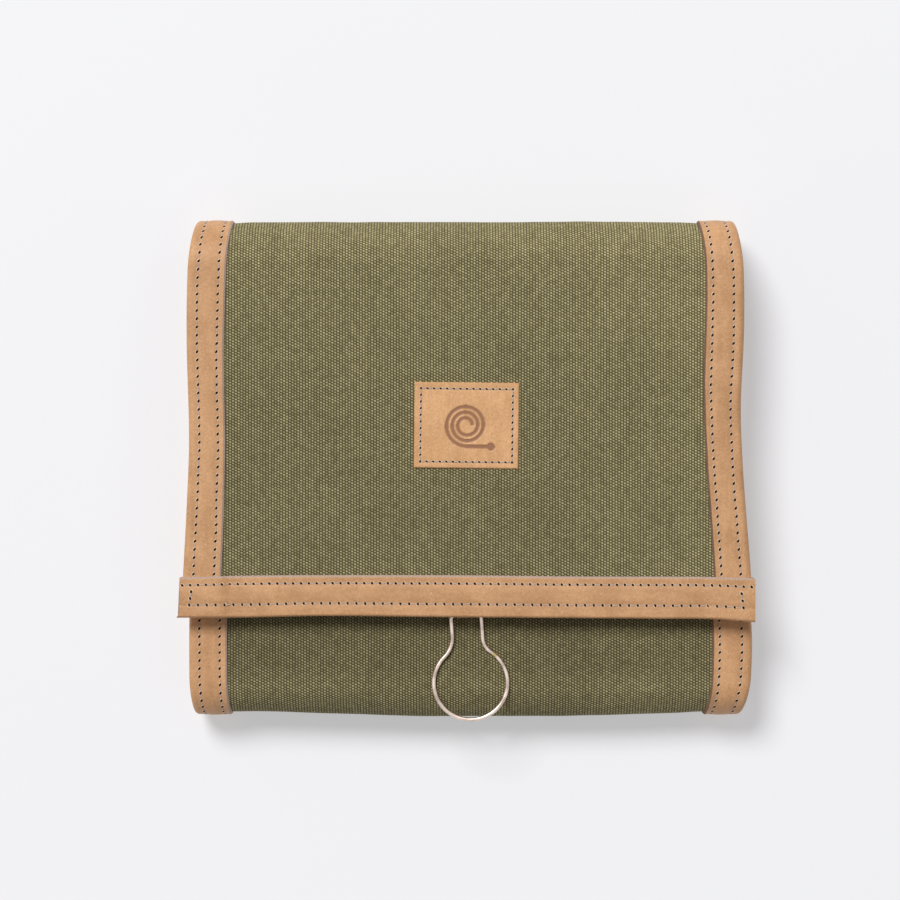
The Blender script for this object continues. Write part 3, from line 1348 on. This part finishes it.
def zip_slider(kind):
    """The slider: two shield-shaped plates on a post, with a rounded bridge over the top one."""
    node = f"{kind}_zip_slider"
    (x0, y0, z0), (x1, y1, z1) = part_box(node)
    cx, cy = (x0 + x1) / 2, (y0 + y1) / 2
    half_l, half_w = (x1 - x0) / 2, (y1 - y0) / 2
    plate_t, round_r, plate_inset = 1.2 * MM, 0.35 * MM, 0.5 * MM
    top_z = z1 - 2.4 * MM
    shield = []
    for k in range(40):
        a = 2 * math.pi * k / 40
        c, s = math.cos(a), math.sin(a)
        px = half_l * math.copysign(abs(c) ** 0.45, c)
        narrow = 1.0 - 0.28 * smooth((px + half_l * 0.2) / (half_l * 1.1))
        py = half_w * narrow * math.copysign(abs(s) ** 0.55, s)
        shield.append(((cx - px, cy + py), (-c, s)))
    forms = []
    for base in (z0, top_z - plate_t):
        top = base + plate_t
        forms.append(slab(shield, [(plate_inset, base), (0.0, base + round_r),
                                   (0.0, top - round_r), (plate_inset, top)]))
    post = rounded_outline(cx - 1.5 * MM, cx + 1.5 * MM, cy - 0.4 * MM, cy + 0.4 * MM, 0.3 * MM, 3)
    forms.append(slab(post, [(0.0, z0 + plate_t * 0.6), (0.0, top_z - plate_t * 0.6)]))
    bridge_x, bridge_rise = 3.7 * MM, 2.3 * MM
    strap_t, strap_w = 0.38 * MM, 1.1 * MM
    turns = [2 * math.pi * k / 8 for k in range(8)]
    rings = []
    for a in evenly(0.0, math.pi, 16):
        out_x, out_z = math.cos(a), max(0.0, math.sin(a))
        x, z = cx + bridge_x * out_x, top_z - 0.3 * MM + bridge_rise * out_z ** 0.6
        rings.append([Vector((x + out_x * strap_t * math.cos(q), cy + strap_w * math.sin(q),
                              z + out_z * strap_t * math.cos(q))) for q in turns])
    forms.append(sweep(rings))
    parts = [(verts, faces, 0, [tuple(v) for v in verts]) for verts, faces in forms]
    verts, faces, slots, cloth = merge(parts)
    slider = finish_mesh(f"{kind}_brass_slider", verts, faces, cloth, (BRASS,), slots)
    belongs(slider, f"{kind}_slider", "zip_metal", node)


def zip_pull(kind):
    """A stitched leather tab through the slider's bridge."""
    node = f"{kind}_zip_pull"
    (x0, y0, z0), (x1, y1, z1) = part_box(node)
    outline = rounded_outline(x0, x1, y0, y1, 1.6 * MM, 5, 3 * MM)
    levels = [(0.25 * MM, z0), (0.0, z0 + 0.2 * MM), (0.0, z1 - 0.25 * MM), (0.3 * MM, z1)]
    verts, faces = slab(outline, levels)
    sides = [1] * (len(faces) - 2) + [0, 0]
    tab = finish_mesh(f"{kind}_leather_pull", verts, faces, [tuple(v) for v in verts], (TAN, CUT), sides)
    belongs(tab, f"{kind}_slider", "trim_leather", node)
    low_y, high_y = y0 + 1.3 * MM, y1 - 5.5 * MM
    left, right = x0 + 1.2 * MM, x1 - 1.2 * MM
    turns = [(left, high_y), (left, low_y), (right, low_y), (right, high_y)]
    rows = [straight_row(a, b, z1) for a, b in zip(turns, turns[1:])]
    cloth_seam(f"{kind}_pull_stitches", rows, f"{kind}_slider", "trim_leather", PRICKED)


def pocket_trim(kind, outline, z, half_row, row_ys, slot, rim):
    """What both pockets have: piping, a zip, and a row of stitches on each side of the zip."""
    pocket_piping(kind, outline, z)
    zip_tapes(kind)
    zip_slider(kind)
    zip_pull(kind)
    rows = [straight_row((-half_row, y), (half_row, y), z) for y in row_ys]
    cloth_seam(f"{kind}_pocket_stitches", rows, "back_panel", slot, rim)


def charger_pocket():
    """The deep canvas pocket, with a zip across its face."""
    upper, lower = "charger_pocket_face_upper", "charger_pocket_face_lower"
    outline = pocket_walls("charger", OLIVE, "canvas")
    pocket_face("charger_pocket_top", upper, POCKET_CORNER, OLIVE, "canvas", 0.5 * MM, -1)
    pocket_face("charger_pocket_front", lower, POCKET_CORNER, OLIVE, "canvas", 1.0 * MM, 1)
    row_ys = (low(upper, 1) + 1.8 * MM, high(lower, 1) - 1.8 * MM)
    pocket_trim("charger", outline, high(upper, 2), high(upper, 0) - 6 * MM, row_ys, "canvas", OLIVE)


def mesh_pocket():
    """The shallow pocket with a face of open mesh, bound by a hem."""
    upper = "mesh_pocket_face_upper"
    strip = pocket_face("mesh_pocket_top", upper, 4 * MM, KHAKI, "lining", 0.0, -1)
    outline = pocket_walls("mesh", KHAKI, "lining")
    (x0, y0, z0), (x1, y1, z1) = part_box("mesh_pocket_mesh")
    half = MESH_HEM / 2
    inside = (x0 + half, x1 - half, y0 + half, y1 - half)
    slack = -1.2 * MM
    net = panels("mesh_pocket_net", MESH,
                 (*inside, z1 - 0.5 * MM, z1 - 0.1 * MM, POCKET_CORNER, slack))
    belongs(net, "back_panel", "mesh", "mesh_pocket_mesh")
    line = [(half, z0), (half, z1), (0.0, z1 + 0.2 * MM), (-half, z1), (-half, z0)]
    hem, _ = hoop("mesh_pocket_hem", rounded_outline(*inside, POCKET_CORNER),
                  lambda run: [(out, level, (out, run, level)) for out, level in line], ZIP_TAPE)
    belongs(hem, "back_panel", "mesh")
    row_ys = (low(upper, 1) + 1.4 * MM, y1 - 1.6 * MM)
    pocket_trim("mesh", outline, z1, x1 - 6 * MM, row_ys, "lining", KHAKI)


# ---------------------------------------------------------------- front panel's edge and what it holds

def front_edge():
    """The leather folded over the front panel's free edge, between its side bindings."""
    (x0, y0, _), (x1, y1, _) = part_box("front_edge_binding")
    rows = (3.0 * MM, 8.0 * MM)
    shape = (lambda x: y1, lambda x: y0, lambda x: FRONT_Z, lambda x: FRONT_Z - FRONT_THICK, rows)
    strip = folded_strip("front_edge_leather", x1, *shape, 1.9 * MM)
    belongs(strip, "front_panel", "binding_leather", "front_edge_binding")
    marks = marks_between(x0 + 3 * MM, x1 - 3 * MM)
    stitched = seam("front_edge_stitches", [(strip_row(v, *shape, outward), marks, 40)
                                            for v in rows for outward in (True, False)])
    belongs(stitched, "front_panel", "binding_leather")


PAD_W = 50 * MM
PAD_SEAM_IN = 1.8 * MM


def closure_pads(name, node, body, material, up):
    """Two pads of hook-and-loop tape, one on each side of the hook, sewn round their edges."""
    (x0, y0, z0), (x1, y1, z1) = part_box(node)
    z = z1 if up > 0 else z0
    rows = []
    for label, left in (("left", x0), ("right", x1 - PAD_W)):
        right = left + PAD_W
        pad = panels(f"{name}_{label}", material, (left, right, y0, y1, z0, z1, 2.5 * MM))
        belongs(pad, body, "closure_tape", node)
        in_x0, in_x1 = left + PAD_SEAM_IN, right - PAD_SEAM_IN
        in_y0, in_y1 = y0 + PAD_SEAM_IN, y1 - PAD_SEAM_IN
        ring = [(in_x0, in_y0), (in_x1, in_y0), (in_x1, in_y1), (in_x0, in_y1), (in_x0, in_y0)]
        rows += [straight_row(a, b, z, up) for a, b in zip(ring, ring[1:])]
    cloth_seam(f"{name}_stitches", rows, body, "closure_tape", material)


ARCHES = 5
ARCH_PITCH = 36 * MM
ARCH_HALF = 14 * MM
ELASTIC_T = 0.9 * MM


def cable_loops(row):
    """Elastic webbing sewn down between arches that hold coiled cables."""
    node = f"cable_loops_{row}"
    (x0, y0, z0), (x1, y1, z1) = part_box(node)
    rise = z1 - z0 - ELASTIC_T
    first = -(ARCHES - 1) * ARCH_PITCH / 2
    line = [x0]
    for k in range(ARCHES):
        middle = first + k * ARCH_PITCH
        line += steps(middle - ARCH_HALF, middle + ARCH_HALF, 1.6 * MM)
    line.append(x1)

    def drop(x):
        """How far the webbing stands off the lining."""
        k = min(ARCHES - 1, max(0, round((x - first) / ARCH_PITCH)))
        t = (x - first - k * ARCH_PITCH) / ARCH_HALF
        return rise * max(0.0, 1 - t * t) ** 0.8 if abs(t) < 1 else 0.0

    outer, inner, cloth = [], [], []
    near, run = 0.1 * MM, 0.0
    for k, x in enumerate(line):
        if k:
            run += math.hypot(x - line[k - 1], drop(x) - drop(line[k - 1]))
        slope = (drop(min(x1, x + near)) - drop(max(x0, x - near))) / (2 * near)
        nx, nz = slope / math.hypot(1, slope), 1 / math.hypot(1, slope)
        pull_in = 0.9 * MM * (drop(x) / rise)
        ys = evenly(y0 + pull_in, y1 - pull_in, 8)
        z = z1 - drop(x)
        outer.append([Vector((x, y, z)) for y in ys])
        inner.append([Vector((x - nx * ELASTIC_T, y, z - nz * ELASTIC_T)) for y in ys])
        cloth += [(y, run, 0.0) for y in ys] + [(y, run, -ELASTIC_T) for y in reversed(ys)]
    verts, faces = shell(outer, inner)
    elastic = finish_mesh(f"elastic_loops_{row}", verts, faces, cloth, (ELASTIC,))
    belongs(elastic, "front_panel", "elastic", node)
    rows = []
    for k in range(ARCHES + 1):
        middle = first + (k - 0.5) * ARCH_PITCH
        for x in (middle - 1.4 * MM, middle + 1.4 * MM):
            rows.append(straight_row((x, y0 + 1 * MM), (x, y1 - 1 * MM), z1 - ELASTIC_T, -1))
    cloth_seam(f"elastic_stitches_{row}", rows, "front_panel", "elastic", ELASTIC)


def hook_tab():
    """The leather tab that wraps the hook's crossbar under the band."""
    room, tab_t, half, reach = 0.97 * MM, 0.7 * MM, 4.2 * MM, 12 * MM
    seat = hook_seat()
    top = high("hook_keeper", 2) - seat.translation.z
    outside = arc((0, 0), room + tab_t, 130, 350, 11)
    inside = arc((0, 0), room, 350, 90, 13)
    profile = [(reach, top), (-room, top)] + outside + inside + [(reach, room)]
    rings, cloth = [], []
    for x in steps(-half, half, 1.2 * MM):
        rings.append([seat @ Vector((x + HOOK_SHIFT, y, z)) for y, z in profile])
        cloth += [(x, y, z) for y, z in profile]
    verts, faces = sweep(rings)
    slots = [0] * (len(faces) - 2) + [1, 1]
    tab = finish_mesh("hook_tab", verts, faces, cloth, (TAN, CUT), slots)
    belongs(tab, "flap", "trim_leather", "hook_keeper")


# ---------------------------------------------------------------- the pouch

canvas("flap", "flap_padding", "flap_canvas", "top_fold_canvas")
canvas("back_upper", "back_padding", "back_canvas")
canvas("back_lower", "bottom_fold_canvas")
canvas("front", "front_padding", "front_canvas")
lining("flap", "flap_lining")
lining("back_upper", "top_fold_lining")
lining("back_lower", "back_lining", "bottom_fold_lining")
lining("front", "front_lining")
for side, label in ((-1, "left"), (1, "right")):
    binding("flap", side, f"flap_binding_{label}", f"top_fold_binding_{label}")
    binding("back_upper", side, f"back_binding_{label}")
    binding("back_lower", side, f"bottom_fold_binding_{label}")
    binding("front", side, f"front_binding_{label}", extra=FRONT_OVERHANG)
flap_band()
leather_patch()
hook_tab()
hook()
charger_pocket()
mesh_pocket()
front_edge()
closure_pads("hook_pad", "closure_hook_tape", "flap", HOOK_TAPE, -1)
closure_pads("loop_pad", "closure_loop_tape", "front_panel", LOOP_TAPE, 1)
for row in ("upper", "lower"):
    cable_loops(row)


# ---------------------------------------------------------------- setting

FLOOR_HALF = 3.0
FLOOR_GLOW = 0.390
FILL_STRENGTH = 0.27
BACKDROP_STRENGTH = 0.95            # what the camera and the reflections see of the world
SOFTBOX_SIZE = 3.0
SOFTBOX_POWER = 445.0
SOFTBOX_PLACE = (-2.3, 3.8, 6.0)
CAMERA_LENS = 119.67
CAMERA_PLACE = (-7.9 * MM, 9.0 * MM, 1.4)


def studio():
    """A plain pale floor that glows faintly, one large soft light high up, and an even fill."""
    mesh = bpy.data.meshes.new("floor")
    corners = [(x * FLOOR_HALF, y * FLOOR_HALF, 0) for x, y in ((-1, -1), (1, -1), (1, 1), (-1, 1))]
    mesh.from_pydata(corners, [], [(0, 1, 2, 3)])
    floor = bpy.data.objects.new("floor", mesh)
    bpy.context.collection.objects.link(floor)
    material, w, surface = new_material("pale_floor")
    shade = w.noise(object_place(w), 0.5, 2.0)
    plug(w, surface, Base_Color=w.blend(shade, (0.565, 0.565, 0.58, 1), (0.58, 0.58, 0.595, 1)),
         Roughness=0.9, Specular_IOR_Level=0.0,
         Emission_Color=(0.98, 0.98, 1.0, 1), Emission_Strength=FLOOR_GLOW)
    mesh.materials.append(material)

    world = bpy.data.worlds.new("studio")
    bpy.context.scene.world = world
    world.use_nodes = True
    tree = world.node_tree
    fill = tree.nodes["Background"]
    fill.inputs[0].default_value = (1.0, 1.0, 1.01, 1)
    fill.inputs[1].default_value = FILL_STRENGTH
    seen = tree.nodes.new("ShaderNodeBackground")
    seen.inputs[0].default_value = (0.9, 0.9, 0.91, 1)
    seen.inputs[1].default_value = BACKDROP_STRENGTH
    paths = tree.nodes.new("ShaderNodeLightPath")
    direct = tree.nodes.new("ShaderNodeMath")
    direct.operation = "MAXIMUM"
    tree.links.new(paths.outputs["Is Camera Ray"], direct.inputs[0])
    tree.links.new(paths.outputs["Is Glossy Ray"], direct.inputs[1])
    pick = tree.nodes.new("ShaderNodeMixShader")
    tree.links.new(direct.outputs[0], pick.inputs[0])
    tree.links.new(fill.outputs[0], pick.inputs[1])
    tree.links.new(seen.outputs[0], pick.inputs[2])
    tree.links.new(pick.outputs[0], tree.nodes["World Output"].inputs[0])

    light = bpy.data.lights.new("overhead_softbox", "AREA")
    light.shape = "DISK"
    light.size = SOFTBOX_SIZE
    light.energy = SOFTBOX_POWER
    lamp = bpy.data.objects.new("overhead_softbox", light)
    lamp.location = SOFTBOX_PLACE
    lamp.rotation_euler = (-lamp.location).to_track_quat("-Z", "Y").to_euler()
    bpy.context.collection.objects.link(lamp)
    bpy.context.scene.view_settings.view_transform = "Standard"


def camera():
    """Straight down, from far enough that the sides hardly lean."""
    data = bpy.data.cameras.new("camera")
    data.lens = CAMERA_LENS
    data.sensor_width = 36
    view = bpy.data.objects.new("camera", data)
    view.location = CAMERA_PLACE
    bpy.context.collection.objects.link(view)
    bpy.context.scene.camera = view


studio()
camera()
